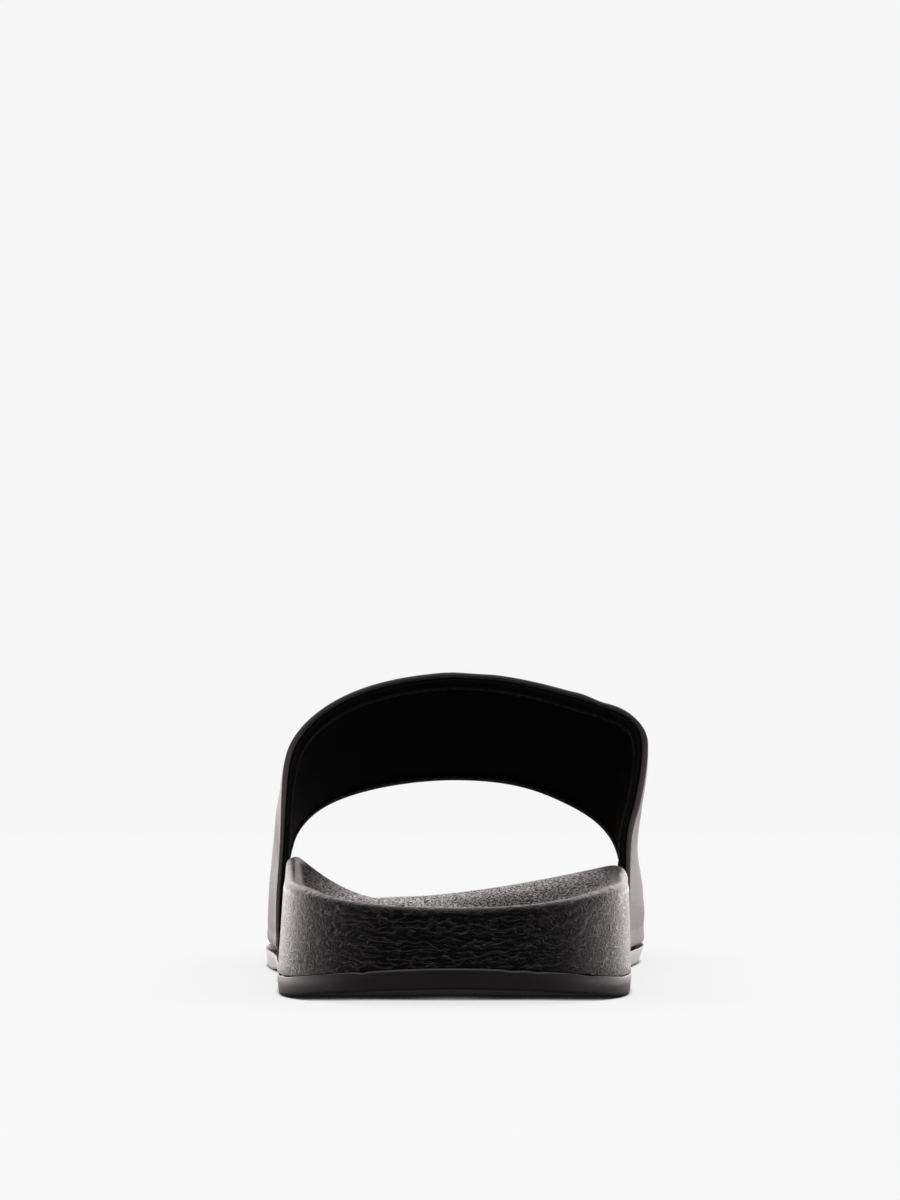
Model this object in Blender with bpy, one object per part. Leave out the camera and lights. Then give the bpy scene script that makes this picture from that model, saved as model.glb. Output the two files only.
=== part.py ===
"""Left slide sandal in metres: outsole, moulded midsole and an open band. The heel lies towards -Y."""
import math

import bmesh
import bpy
import numpy as np

# Sole. Heights are above the floor, and distances along the sole are from the back of the heel.
SOLE_LENGTH = 0.280
MIDSOLE_WIDTH = 0.101
RIM_HEIGHT = 0.0300
OUTSOLE_THICKNESS = 0.0045
OUTSOLE_STEP = 0.0002
OUTSOLE_EDGE_RADIUS = 0.0023
HEEL_LIFT = 0.0037
HEEL_ROLL = 0.050
TOE_SPRING = 0.0045
TOE_ROLL = 0.065
WAIST_HOLLOW = 0.0009
SIDE_LEAN = 0.045
RIM_RADIUS = 0.0019
LOWER_EDGE_RADIUS = 0.0006

# Band. The wall is one thickness, and the lower ends turn in between midsole and outsole.
BAND_WIDTH = 0.107
BAND_HEIGHT = 0.0775
BAND_FRONT_HEIGHT = 0.0540
BAND_WALL = 0.0033
BAND_SIDE_SWELL = 0.0019
BAND_CROWN_SWELL = 0.0015
BAND_EDGE_ROUND = 0.0012
TURN_RADIUS = 0.0039
LAP_WIDTH = 0.0090
FLARE_RAMP = 0.072
NOTCH_DEPTH = 0.0011
NOTCH_RAMP = 0.011

# Clearances between the pieces.
FLAT_GAP = 0.0003
SIDE_GAP = 0.00045
POCKET_MARGIN = 0.0008

# Cross grooves between the lugs of the outsole.
GROOVE_WIDTH = 0.0022
GROOVE_DEPTH = 0.0012
GROOVE_END_MARGIN = 0.0095
HEEL_GROOVES = 4
FOREFOOT_GROOVES = 7

# Mesh fineness.
OUTLINE_STEPS = 50
BAND_STEPS_ACROSS = 58
BAND_STEPS_ALONG = 8
EDGE_STEPS = 4

# Outline of the midsole: place along the sole as a share of its length, then how far the lateral
# and the medial edge lie from the heel's centre line, as shares of the midsole's width.
OUTLINE = [
    # along, lateral, medial
    (0.000, 0.000, 0.000),
    (0.016, 0.183, 0.178),
    (0.046, 0.290, 0.287),
    (0.093, 0.366, 0.366),
    (0.161, 0.400, 0.402),
    (0.268, 0.416, 0.418),
    (0.346, 0.429, 0.430),
    (0.421, 0.435, 0.432),
    (0.493, 0.452, 0.442),
    (0.554, 0.475, 0.467),
    (0.625, 0.489, 0.499),
    (0.700, 0.485, 0.512),
    (0.786, 0.457, 0.499),
    (0.875, 0.388, 0.453),
    (0.936, 0.292, 0.386),
    (0.975, 0.176, 0.302),
    (1.000, -0.064, 0.064),
]

# Footbed: heights of the lateral rim, the medial rim and the bed as shares of the rim height, the
# bed's lowest line as a share of the width, and how much of the way to it each wall takes.
FOOTBED = [
    # along, lateral rim, medial rim, bed, low line, lateral wall, medial wall
    (0.000, 0.697, 0.697, 0.590, 0.000, 0.50, 0.50),
    (0.029, 0.740, 0.740, 0.588, 0.000, 0.50, 0.50),
    (0.071, 0.812, 0.810, 0.583, 0.000, 0.50, 0.50),
    (0.161, 0.862, 0.853, 0.580, -0.010, 0.54, 0.56),
    (0.268, 0.933, 0.887, 0.607, -0.080, 0.72, 0.80),
    (0.357, 0.995, 0.918, 0.650, -0.165, 0.88, 0.97),
    (0.411, 0.985, 0.932, 0.657, -0.180, 0.90, 1.00),
    (0.500, 0.865, 0.850, 0.610, -0.140, 0.85, 0.92),
    (0.589, 0.700, 0.717, 0.540, -0.060, 0.72, 0.72),
    (0.696, 0.573, 0.587, 0.473, 0.000, 0.60, 0.56),
    (0.839, 0.507, 0.510, 0.440, 0.030, 0.50, 0.50),
    (1.000, 0.527, 0.527, 0.460, 0.040, 0.50, 0.50),
]

# Band: its two edges from the lateral foot over the crown to the medial foot. Across is a share of
# the band's width, rise a share of the way from foot to crown, along a share of the sole's length.
BAND = [
    # rear: across, rise, along;   front: across, rise, along
    (-0.430, 0.000, 0.375, -0.480, 0.000, 0.686),
    (-0.423, 0.281, 0.384, -0.466, 0.338, 0.693),
    (-0.414, 0.557, 0.402, -0.443, 0.629, 0.705),
    (-0.392, 0.728, 0.418, -0.381, 0.792, 0.716),
    (-0.297, 0.882, 0.432, -0.266, 0.914, 0.725),
    (-0.131, 0.978, 0.445, -0.112, 0.985, 0.732),
    (0.047, 1.000, 0.454, 0.037, 1.000, 0.736),
    (0.206, 0.964, 0.459, 0.178, 0.962, 0.739),
    (0.357, 0.897, 0.461, 0.307, 0.854, 0.745),
    (0.457, 0.807, 0.459, 0.402, 0.720, 0.754),
    (0.469, 0.658, 0.454, 0.458, 0.567, 0.763),
    (0.445, 0.455, 0.443, 0.480, 0.360, 0.771),
    (0.427, 0.251, 0.434, 0.490, 0.172, 0.776),
    (0.427, 0.000, 0.429, 0.496, 0.000, 0.779),
]

LATERAL, MEDIAL = -1, 1
SPINE_START, SPINE_END = 0.16, 0.86
WALL_CURVE = 1.62
COLOURS = {
    "outsole": ((0.020, 0.020, 0.022), 0.55),
    "midsole": ((0.028, 0.027, 0.028), 0.60),
    "upper": ((0.032, 0.030, 0.031), 0.50),
}


def column(table, index):
    return np.array([row[index] for row in table])


def spline(knots, values, places):
    """Natural cubic through the knots, read at the places."""
    places = np.asarray(places, float)
    steps = np.diff(knots)
    slopes = np.diff(values) / steps
    matrix, target = np.eye(len(knots)), np.zeros(len(knots))
    for i in range(1, len(knots) - 1):
        matrix[i, i - 1:i + 2] = steps[i - 1], 2 * (steps[i - 1] + steps[i]), steps[i]
        target[i] = 6 * (slopes[i] - slopes[i - 1])
    bend = np.linalg.solve(matrix, target)
    i = np.clip(np.searchsorted(knots, places) - 1, 0, len(steps) - 1)
    after, before = (places - knots[i]) / steps[i], (knots[i + 1] - places) / steps[i]
    curved = (before ** 3 - before) * bend[i] + (after ** 3 - after) * bend[i + 1]
    return before * values[i] + after * values[i + 1] + curved * steps[i] ** 2 / 6


def smooth_step(share):
    share = np.clip(share, 0, 1)
    return share * share * (3 - 2 * share)


def turn_share(along):
    """Angle share of a place along the sole, so that both ends of the outline come out round."""
    return np.arccos(np.clip(1 - 2 * np.asarray(along), -1, 1)) / math.pi


def outline_x(side, y):
    share = spline(turn_share(column(OUTLINE, 0)), column(OUTLINE, 1 if side == LATERAL else 2),
                   turn_share(y / SOLE_LENGTH))
    return side * share * MIDSOLE_WIDTH


def wall_x(side, y):
    """Outline of the midsole, a little narrower where the band lies against it."""
    start, end = foot_ends(side)
    held = smooth_step((y - start) / NOTCH_RAMP + 1) * smooth_step((end - y) / NOTCH_RAMP + 1)
    return outline_x(side, y) - side * NOTCH_DEPTH * held


def footbed_value(index, y):
    return spline(column(FOOTBED, 0), column(FOOTBED, index), y / SOLE_LENGTH)


def rim_height(side, y):
    return RIM_HEIGHT * footbed_value(1 if side == LATERAL else 2, y)


def sole_lift(y):
    """How far the sole rolls up off the floor at the heel and the toe."""
    heel = np.clip(1 - y / HEEL_ROLL, 0, None) ** 2
    toe = np.clip((y - SOLE_LENGTH + TOE_ROLL) / TOE_ROLL, 0, None) ** 2
    return HEEL_LIFT * heel + TOE_SPRING * toe


def waist_rise(y):
    """Shallow hollow under the waist, clear of the heel and forefoot flats."""
    share = y / SOLE_LENGTH
    return WAIST_HOLLOW * smooth_step((share - 0.33) / 0.06) * smooth_step((0.52 - share) / 0.06)


def seam_height(y):
    return sole_lift(y) + OUTSOLE_THICKNESS + FLAT_GAP


def foot_ends(side):
    """Where the band's foot starts and ends along the sole on one side."""
    row = BAND[0] if side == LATERAL else BAND[-1]
    return row[2] * SOLE_LENGTH, row[5] * SOLE_LENGTH


def flare(side, y):
    """Extra width of the outsole where it carries the foot of the band."""
    start, end = foot_ends(side)
    ramp_in = smooth_step((y - start) / FLARE_RAMP + 0.42)
    ramp_out = smooth_step((end - y) / FLARE_RAMP + 0.90)
    return side * (BAND_WALL - NOTCH_DEPTH) * ramp_in * ramp_out


class SoleRings:
    """Closed rings round the sole: heel to toe on the lateral side, then back on the medial side."""

    def __init__(self, widen=0.0, flared=False):
        turn = np.linspace(0, 1, OUTLINE_STEPS + 1)
        along = (1 - np.cos(math.pi * turn)) / 2
        self.half = OUTLINE_STEPS
        self.along = np.concatenate([along, along[-2:0:-1]])
        self.side = np.where(np.arange(len(self.along)) <= self.half, LATERAL, MEDIAL)
        y = self.along * SOLE_LENGTH
        self.edge = np.zeros((len(y), 2))
        for side in (LATERAL, MEDIAL):
            here = self.side == side
            self.edge[here, 0] = outline_x(side, y[here]) if flared else wall_x(side, y[here])
            if flared:
                self.edge[here, 0] += flare(side, y[here])
        self.edge[:, 1] = y
        spine_y = SOLE_LENGTH * (SPINE_START + (SPINE_END - SPINE_START) * self.along)
        self.spine = np.column_stack([footbed_value(4, spine_y) * MIDSOLE_WIDTH, spine_y])
        self.edge = self.toward_spine(-widen)
        self.rings = []

    def toward_spine(self, distance):
        way = self.spine - self.edge
        way /= np.linalg.norm(way, axis=1)[:, None]
        return self.edge + way * np.reshape(distance, (-1, 1))

    def pick(self, function):
        """A value that differs between the two sides, taken at each point of the edge."""
        y = self.along * SOLE_LENGTH
        return np.where(self.side == LATERAL, function(LATERAL, y), function(MEDIAL, y))

    def add(self, plan, height):
        self.rings.append(np.column_stack([plan, height]))

    def mesh_data(self):
        """Vertices and faces. The first and last ring are the two sides of one line, so they merge."""
        count, last = len(self.along), len(self.rings) - 1
        points, index = [], []
        for number, ring in enumerate(self.rings):
            start = len(points)
            folded = number in (0, last)
            points.extend(ring[:self.half + 1] if folded else ring)
            index.append([start + (min(i, count - i) if folded else i) for i in range(count)])
        faces = []
        for lower, upper in zip(index, index[1:]):
            for i in range(count):
                j = (i + 1) % count
                faces.append((lower[i], lower[j], upper[j], upper[i]))
        return points, faces


def make_solid(name, points, faces):
    mesh = bpy.data.meshes.new(name)
    mesh.from_pydata([tuple(point) for point in points], [], faces)
    shape = bmesh.new()
    shape.from_mesh(mesh)
    bmesh.ops.recalc_face_normals(shape, faces=shape.faces)
    shape.to_mesh(mesh)
    shape.free()
    solid = bpy.data.objects.new(name, mesh)
    bpy.context.collection.objects.link(solid)
    return solid


def cut_away(solid, cutter):
    """Take the cutter's volume out of the solid."""
    for item in (solid, cutter):
        shape = bmesh.new()
        shape.from_mesh(item.data)
        bmesh.ops.triangulate(shape, faces=shape.faces)
        shape.to_mesh(item.data)
        shape.free()
    cut = solid.modifiers.new("cut", "BOOLEAN")
    cut.operation, cut.solver, cut.object = "DIFFERENCE", "EXACT", cutter
    bpy.context.view_layer.objects.active = solid
    bpy.ops.object.modifier_apply(modifier=cut.name)
    bpy.data.objects.remove(cutter)


def rounded(radius, steps):
    """Corner as pairs (in, up), from the flat side to the upright one."""
    angles = np.linspace(0, math.pi / 2, steps)
    return [(radius * (1 - math.sin(a)), radius * (1 - math.cos(a))) for a in angles]


def make_outsole():
    rings = SoleRings(OUTSOLE_STEP, flared=True)
    y = rings.edge[:, 1]

    def floor_ring(plan, raised=0.0):
        rings.add(plan, sole_lift(plan[:, 1]) + waist_rise(plan[:, 1]) + raised)

    floor_ring(rings.spine)
    floor_ring(rings.edge + (rings.spine - rings.edge) * 0.45)
    for inward, up in rounded(OUTSOLE_EDGE_RADIUS, 5):
        floor_ring(rings.toward_spine(inward), up)
    top = sole_lift(y) + OUTSOLE_THICKNESS
    rings.add(rings.edge, top - LOWER_EDGE_RADIUS)
    inner = rings.toward_spine(LOWER_EDGE_RADIUS)
    for plan in (inner, rings.edge + (rings.spine - rings.edge) * 0.45, rings.spine):
        rings.add(plan, sole_lift(plan[:, 1]) + OUTSOLE_THICKNESS)
    outsole = make_solid("outsole", *rings.mesh_data())
    cut_away(outsole, make_grooves())
    return outsole


def groove_places():
    """Middle of each groove along the sole, on the heel flat and on the forefoot flat."""
    heel_start, heel_end = 0.215 * SOLE_LENGTH, 0.315 * SOLE_LENGTH
    front_start, front_end = 0.550 * SOLE_LENGTH, 0.745 * SOLE_LENGTH
    return [*np.linspace(heel_start, heel_end, HEEL_GROOVES),
            *np.linspace(front_start, front_end, FOREFOOT_GROOVES)]


def make_grooves():
    points, faces = [], []
    for y in groove_places():
        left = float(outline_x(LATERAL, y)) + GROOVE_END_MARGIN
        right = float(outline_x(MEDIAL, y)) - GROOVE_END_MARGIN
        start = len(points)
        for z, half in ((-GROOVE_DEPTH, GROOVE_WIDTH * 0.75), (GROOVE_DEPTH, GROOVE_WIDTH * 0.35)):
            points += [(left, y - half, z), (right, y - half, z), (right, y + half, z), (left, y + half, z)]
        faces += [tuple(start + i for i in face) for face in
                  ((3, 2, 1, 0), (4, 5, 6, 7), (0, 1, 5, 4), (1, 2, 6, 5), (2, 3, 7, 6), (3, 0, 4, 7))]
    return make_solid("grooves", points, faces)


def make_midsole():
    rings = SoleRings()
    y = rings.edge[:, 1]
    seam, rim = seam_height(y), rings.pick(rim_height)
    for plan in (rings.spine, rings.edge + (rings.spine - rings.edge) * 0.45):
        rings.add(plan, seam_height(plan[:, 1]))
    for inward, up in rounded(LOWER_EDGE_RADIUS, 3):
        rings.add(rings.toward_spine(inward), seam + up)

    shoulder = rim - RIM_RADIUS
    for share in (0.35, 0.70, 1.0):
        height = seam + LOWER_EDGE_RADIUS + (shoulder - seam - LOWER_EDGE_RADIUS) * share
        rings.add(rings.toward_spine(SIDE_LEAN * (height - seam)), height)
    lean = SIDE_LEAN * (shoulder - seam)
    for angle in np.radians([25, 50, 75]):
        inward = lean + RIM_RADIUS * (1 - math.cos(angle))
        rings.add(rings.toward_spine(inward), shoulder + RIM_RADIUS * math.sin(angle))

    start = rings.toward_spine(lean + RIM_RADIUS)
    wall = np.where(rings.side == LATERAL, footbed_value(5, y), footbed_value(6, y))
    for way in (0.0, 0.06, 0.13, 0.21, 0.31, 0.43, 0.57, 0.74, 1.0):
        plan = start + (rings.spine - start) * way
        bed = RIM_HEIGHT * footbed_value(3, plan[:, 1])
        rings.add(plan, bed + (rim - bed) * np.clip(1 - way / wall, 0, 1) ** WALL_CURVE)
    midsole = make_solid("midsole", *rings.mesh_data())
    for side in (LATERAL, MEDIAL):
        cut_away(midsole, make_pocket(side))
    return midsole


def make_pocket(side):
    """Block that clears the turned-in foot of the band from the midsole's lower edge."""
    start, end = foot_ends(side)
    start, end = start - BAND_EDGE_ROUND - POCKET_MARGIN, end + BAND_EDGE_ROUND + POCKET_MARGIN
    top = OUTSOLE_THICKNESS + 2 * FLAT_GAP + BAND_WALL + sole_lift(end)
    depth = TURN_RADIUS + LAP_WIDTH - BAND_WALL + POCKET_MARGIN
    points = []
    for y in np.linspace(start, end, 14):
        edge = float(wall_x(side, y))
        inner, outer = edge - side * depth, edge + side * 2 * BAND_WALL
        points += [(inner, y, 0), (outer, y, 0), (outer, y, top), (inner, y, top)]
    faces = [(0, 1, 2, 3), tuple(len(points) - i for i in (1, 2, 3, 4))]
    for start in range(0, len(points) - 4, 4):
        faces += [(start + i, start + (i + 1) % 4, start + 4 + (i + 1) % 4, start + 4 + i) for i in range(4)]
    return make_solid("pocket", points, faces)


def band_foot_height(y):
    return seam_height(y) + TURN_RADIUS


def band_surface(across, along):
    """Outer face of the band at shares 0 to 1 across it and along it."""
    foot = OUTSOLE_THICKNESS + FLAT_GAP + TURN_RADIUS
    edges = []
    rows = column(BAND, 0), column(BAND, 1)
    chord = np.hypot(np.diff(rows[0]) * BAND_WIDTH, np.diff(rows[1]) * (BAND_HEIGHT - foot))
    knots = np.concatenate([[0], np.cumsum(chord)]) / chord.sum()
    for first, crown in ((0, BAND_HEIGHT), (3, BAND_FRONT_HEIGHT)):
        x = spline(knots, column(BAND, first), across) * BAND_WIDTH
        z = foot + spline(knots, column(BAND, first + 1), across) * (crown - foot)
        y = spline(knots, column(BAND, first + 2), across) * SOLE_LENGTH
        edges.append(np.column_stack([x, y, z]))
    rear, front = edges
    middle = (rear + front) / 2
    way = np.gradient(middle[:, [0, 2]], axis=0)
    way /= np.linalg.norm(way, axis=1)[:, None]
    swell = 4 * along * (1 - along)
    point = rear + (front - rear) * along
    point[:, 0] -= swell * BAND_SIDE_SWELL * way[:, 1]
    point[:, 2] += swell * BAND_CROWN_SWELL * way[:, 0]
    for side in (LATERAL, MEDIAL):
        here = point[:, 0] * side > 0
        y, z = point[here, 1], point[here, 2]
        wall = wall_x(side, y) - side * SIDE_LEAN * (z - seam_height(y)) + side * (SIDE_GAP + BAND_WALL)
        hold = 1 - smooth_step((z - rim_height(side, y) - RIM_RADIUS / 2) / (BAND_HEIGHT * 0.2))
        point[here, 0] += (wall - point[here, 0]) * hold
    return point


def turned_foot(foot, side):
    """The wall's foot carried round the turn and in under the midsole, from its end to the wall."""
    angles = np.radians([75, 50, 25])
    inward = [TURN_RADIUS + LAP_WIDTH, TURN_RADIUS + LAP_WIDTH / 2, TURN_RADIUS]
    inward += [TURN_RADIUS * (1 - math.cos(a)) for a in angles]
    drop = [TURN_RADIUS] * 3 + [TURN_RADIUS * math.sin(a) for a in angles]
    return [foot - np.array([side * i, 0, d]) for i, d in zip(inward, drop)]


def band_section(along):
    """Outer face from the lateral lap over the crown to the medial lap, at one share along."""
    wall = band_surface(np.linspace(0, 1, BAND_STEPS_ACROSS + 1), along)
    wall[0, 2], wall[-1, 2] = band_foot_height(wall[0, 1]), band_foot_height(wall[-1, 1])
    return np.array(turned_foot(wall[0], LATERAL) + list(wall) + turned_foot(wall[-1], MEDIAL)[::-1])


def unit(vectors):
    return vectors / np.linalg.norm(vectors, axis=-1, keepdims=True)


def make_upper():
    shares = np.linspace(0, 1, BAND_STEPS_ALONG + 1)
    outer = np.array([band_section(share) for share in shares])
    along = unit(np.gradient(outer, axis=0))
    across = unit(np.gradient(outer, axis=1))
    normal = unit(np.cross(across, along))

    loop = list(outer)
    for row, sign in ((-1, 1), (0, -1)):
        for angle in np.linspace(0, math.pi, EDGE_STEPS + 2)[1:-1]:
            depth, reach = BAND_WALL * (1 - math.cos(angle)) / 2, BAND_EDGE_ROUND * math.sin(angle)
            if row == 0:
                depth = BAND_WALL - depth
            loop.append(outer[row] - normal[row] * depth + along[row] * sign * reach)
        if row == -1:
            loop.extend((outer - normal * BAND_WALL)[::-1])
    loop = np.array(loop)

    count, length = loop.shape[0], loop.shape[1]
    points = loop.reshape(-1, 3)
    faces = []
    for i in range(count):
        j = (i + 1) % count
        faces += [(i * length + k, j * length + k, j * length + k + 1, i * length + k + 1)
                  for k in range(length - 1)]
    for k in (0, length - 1):
        faces += end_cap(count, length, k)
    return make_solid("upper", points, faces)


def end_cap(count, length, k):
    """Quads across the wall between the two faces of one end of the band."""
    rows = BAND_STEPS_ALONG + 1
    outer = [i * length + k for i in range(-EDGE_STEPS // 2, rows + EDGE_STEPS // 2)]
    outer = [i % (count * length) for i in outer]
    inner = [(2 * rows + EDGE_STEPS - 1 - i) % count * length + k
             for i in range(-EDGE_STEPS // 2, rows + EDGE_STEPS // 2)]
    return [(outer[i], outer[i + 1], inner[i + 1], inner[i]) for i in range(len(outer) - 1)]


def paint(solid):
    colour, roughness = COLOURS[solid.name]
    material = bpy.data.materials.new(solid.name)
    material.use_nodes = True
    shader = material.node_tree.nodes["Principled BSDF"]
    shader.inputs["Base Color"].default_value = (*colour, 1.0)
    shader.inputs["Roughness"].default_value = roughness
    material.diffuse_color = (*colour, 1.0)
    solid.data.materials.append(material)


def centre(solids):
    """Move the whole part so that its box stands centred on the origin."""
    corners = np.array([vertex.co for solid in solids for vertex in solid.data.vertices])
    low, high = corners.min(axis=0), corners.max(axis=0)
    offset = np.array([(low[0] + high[0]) / 2, (low[1] + high[1]) / 2, low[2]])
    for solid in solids:
        for vertex in solid.data.vertices:
            vertex.co = [value - shift for value, shift in zip(vertex.co, offset)]


def main():
    for item in list(bpy.data.objects):
        bpy.data.objects.remove(item)
    solids = [make_outsole(), make_midsole(), make_upper()]
    centre(solids)
    for solid in solids:
        paint(solid)
        solid.data.polygons.foreach_set("use_smooth", [True] * len(solid.data.polygons))


main()
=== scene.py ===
import math

import bpy
import numpy as np
from mathutils import Matrix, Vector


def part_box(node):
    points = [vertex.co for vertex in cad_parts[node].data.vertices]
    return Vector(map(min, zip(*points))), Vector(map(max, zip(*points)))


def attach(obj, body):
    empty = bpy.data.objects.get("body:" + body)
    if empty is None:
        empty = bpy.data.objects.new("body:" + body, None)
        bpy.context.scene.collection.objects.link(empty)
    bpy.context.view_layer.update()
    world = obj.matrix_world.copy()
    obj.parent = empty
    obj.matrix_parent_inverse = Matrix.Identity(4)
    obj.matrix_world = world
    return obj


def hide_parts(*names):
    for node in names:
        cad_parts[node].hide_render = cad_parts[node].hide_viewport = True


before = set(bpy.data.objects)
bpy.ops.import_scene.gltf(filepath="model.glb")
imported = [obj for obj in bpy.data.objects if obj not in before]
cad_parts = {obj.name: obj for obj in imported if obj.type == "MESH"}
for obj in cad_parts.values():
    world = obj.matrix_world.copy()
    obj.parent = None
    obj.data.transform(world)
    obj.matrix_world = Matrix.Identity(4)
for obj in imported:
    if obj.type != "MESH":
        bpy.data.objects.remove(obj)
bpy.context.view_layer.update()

# The sole's own sizes, in metres. y runs from the back of the heel to the toe, x to the inner side.
sole = {
    "length": 0.280,
    "width": 0.101,
    "rimHeight": 0.0300,
    "rimRadius": 0.0019,
    "lowerRadius": 0.0002,
    "sideLean": {-1: 0.045, 1: 0.014},
    "flareShare": {-1: 1.0, 1: 0.75},
    "outsole": 0.0045,
    "outsoleStep": 0.0002,
    "heelLift": 0.0035,
    "heelRoll": 0.042,
    "seamLift": 0.0034,
    "seamRoll": 0.031,
    "toeSpring": 0.0045,
    "toeRoll": 0.065,
    "waistHollow": 0.0009,
    "waist": (0.33, 0.52),
    "waistRamp": 0.06,
    "notch": 0.0011,
    "notchRamp": 0.011,
    "flatGap": 0.0003,
    "spineStart": 0.16,
    "spineEnd": 0.86,
}

# along, lateral edge, medial edge, as shares of the length and the width
outline = np.array([
    (0.000, 0.000, 0.000), (0.016, 0.183, 0.178), (0.046, 0.290, 0.287), (0.093, 0.366, 0.366),
    (0.161, 0.400, 0.402), (0.268, 0.416, 0.418), (0.346, 0.429, 0.430), (0.421, 0.435, 0.432),
    (0.493, 0.452, 0.442), (0.554, 0.475, 0.467), (0.625, 0.489, 0.499), (0.700, 0.485, 0.512),
    (0.786, 0.457, 0.499), (0.875, 0.388, 0.453), (0.936, 0.292, 0.386), (0.975, 0.176, 0.302),
    (1.000, -0.064, 0.064)])

# along, lateral rim, medial rim, bed, lowest line, lateral wall, medial wall
footbed = np.array([
    (0.000, 0.697, 0.697, 0.590, 0.000, 0.50, 0.50), (0.029, 0.740, 0.740, 0.588, 0.000, 0.50, 0.50),
    (0.071, 0.812, 0.810, 0.583, 0.000, 0.50, 0.50), (0.161, 0.862, 0.853, 0.580, -0.010, 0.54, 0.56),
    (0.268, 0.933, 0.887, 0.607, -0.080, 0.72, 0.80), (0.357, 1.010, 0.918, 0.650, -0.165, 0.88, 0.97),
    (0.411, 0.962, 0.932, 0.657, -0.180, 0.90, 1.00), (0.500, 0.865, 0.850, 0.610, -0.140, 0.85, 0.92),
    (0.589, 0.700, 0.717, 0.540, -0.060, 0.72, 0.72), (0.696, 0.573, 0.587, 0.473, 0.000, 0.60, 0.56),
    (0.839, 0.507, 0.510, 0.440, 0.030, 0.50, 0.50), (1.000, 0.527, 0.527, 0.460, 0.040, 0.50, 0.50)])
wallCurve = 1.62

band = {
    "width": 0.107,
    "height": 0.0775,
    "frontHeight": 0.0540,
    "wall": 0.0033,
    "sideSwell": 0.0019,
    "crownSwell": 0.0015,
    "turnRadius": 0.0039,
    "lap": 0.0090,
    "sideGap": 0.00045,
    "flareRamp": 0.072,
    "flareStart": 0.42,  # how far the flare has risen at the foot's ends
    "flareEnd": 0.90,
    "holdRamp": 0.2,  # where the band leaves the sole's wall
    "stepsAlong": 44,
    "stepsAcross": 180,
    "lapSteps": 6,
    "turnSteps": 8,
}

# rear edge of the band: across, rise, along; then its front edge the same way
bandRows = np.array([
    (-0.430, 0.000, 0.375, -0.480, 0.000, 0.686), (-0.423, 0.281, 0.384, -0.466, 0.338, 0.693),
    (-0.414, 0.557, 0.402, -0.443, 0.629, 0.705), (-0.392, 0.728, 0.418, -0.381, 0.792, 0.716),
    (-0.297, 0.882, 0.432, -0.266, 0.914, 0.725), (-0.131, 0.978, 0.445, -0.112, 0.985, 0.732),
    (0.047, 1.000, 0.454, 0.037, 1.000, 0.736), (0.206, 0.964, 0.459, 0.178, 0.962, 0.739),
    (0.357, 0.897, 0.461, 0.307, 0.854, 0.745), (0.457, 0.807, 0.459, 0.402, 0.720, 0.754),
    (0.469, 0.658, 0.454, 0.458, 0.567, 0.763), (0.445, 0.455, 0.443, 0.480, 0.360, 0.771),
    (0.427, 0.251, 0.434, 0.490, 0.172, 0.776), (0.427, 0.000, 0.429, 0.496, 0.000, 0.779)])


def curveThrough(knots, values, places):
    places = np.asarray(places, float)
    steps = np.diff(knots)
    slopes = np.diff(values) / steps
    matrix, target = np.eye(len(knots)), np.zeros(len(knots))
    for i in range(1, len(knots) - 1):
        matrix[i, i - 1:i + 2] = steps[i - 1], 2 * (steps[i - 1] + steps[i]), steps[i]
        target[i] = 6 * (slopes[i] - slopes[i - 1])
    bend = np.linalg.solve(matrix, target)
    i = np.clip(np.searchsorted(knots, places) - 1, 0, len(steps) - 1)
    after, before = (places - knots[i]) / steps[i], (knots[i + 1] - places) / steps[i]
    curved = (before ** 3 - before) * bend[i] + (after ** 3 - after) * bend[i + 1]
    return before * values[i] + after * values[i + 1] + curved * steps[i] ** 2 / 6


def ease(share):
    share = np.clip(share, 0, 1)
    return share * share * (3 - 2 * share)


def hump(places, middle, half):  # 1 at the middle, 0 from half a width away
    return 1 - ease(np.abs(places - middle) / half)


def turnShare(along):
    return np.arccos(np.clip(1 - 2 * np.asarray(along), -1, 1)) / math.pi


def outlineX(side, y):  # side is -1 for lateral, +1 for medial
    across = curveThrough(turnShare(outline[:, 0]), outline[:, 1 if side < 0 else 2],
                          turnShare(y / sole["length"]))
    return side * sole["width"] * across


def footbedValue(column, y):
    return curveThrough(footbed[:, 0], footbed[:, column], y / sole["length"])


def rimHeight(side, y):
    return sole["rimHeight"] * footbedValue(1 if side < 0 else 2, y)


def soleLift(y, lift="heelLift", roll="heelRoll"):
    heel = np.clip(1 - y / sole[roll], 0, None) ** 2
    toe = np.clip((y - sole["length"] + sole["toeRoll"]) / sole["toeRoll"], 0, None) ** 2
    return sole[lift] * heel + sole["toeSpring"] * toe


def outsoleTop(y):  # its curve at the heel is shorter than the edge's
    return soleLift(y, "seamLift", "seamRoll") + sole["outsole"]


def waistRise(y):
    share = y / sole["length"]
    start, end = sole["waist"]
    rise = sole["waistHollow"] * ease((share - start) / sole["waistRamp"])
    return rise * ease((end - share) / sole["waistRamp"])


def seamHeight(y):
    return outsoleTop(y) + sole["flatGap"]


def footEnds(side):  # where the band's foot starts and ends
    row = bandRows[0] if side < 0 else bandRows[-1]
    return row[2] * sole["length"], row[5] * sole["length"]


def wallX(side, y):
    start, end = footEnds(side)
    held = ease((y - start) / sole["notchRamp"] + 1) * ease((end - y) / sole["notchRamp"] + 1)
    return outlineX(side, y) - side * sole["notch"] * held


def outsoleX(side, y):
    start, end = footEnds(side)
    flare = ease((y - start) / band["flareRamp"] + band["flareStart"])
    flare = flare * ease((end - y) / band["flareRamp"] + band["flareEnd"])
    flare = flare * forSide(side, sole["flareShare"])
    return outlineX(side, y) + side * (band["wall"] - sole["notch"]) * flare


def bySide(side, lateral, medial):
    return np.where(side < 0, lateral, medial)


def forSide(side, pair):
    return bySide(side, pair[-1], pair[1])


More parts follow.
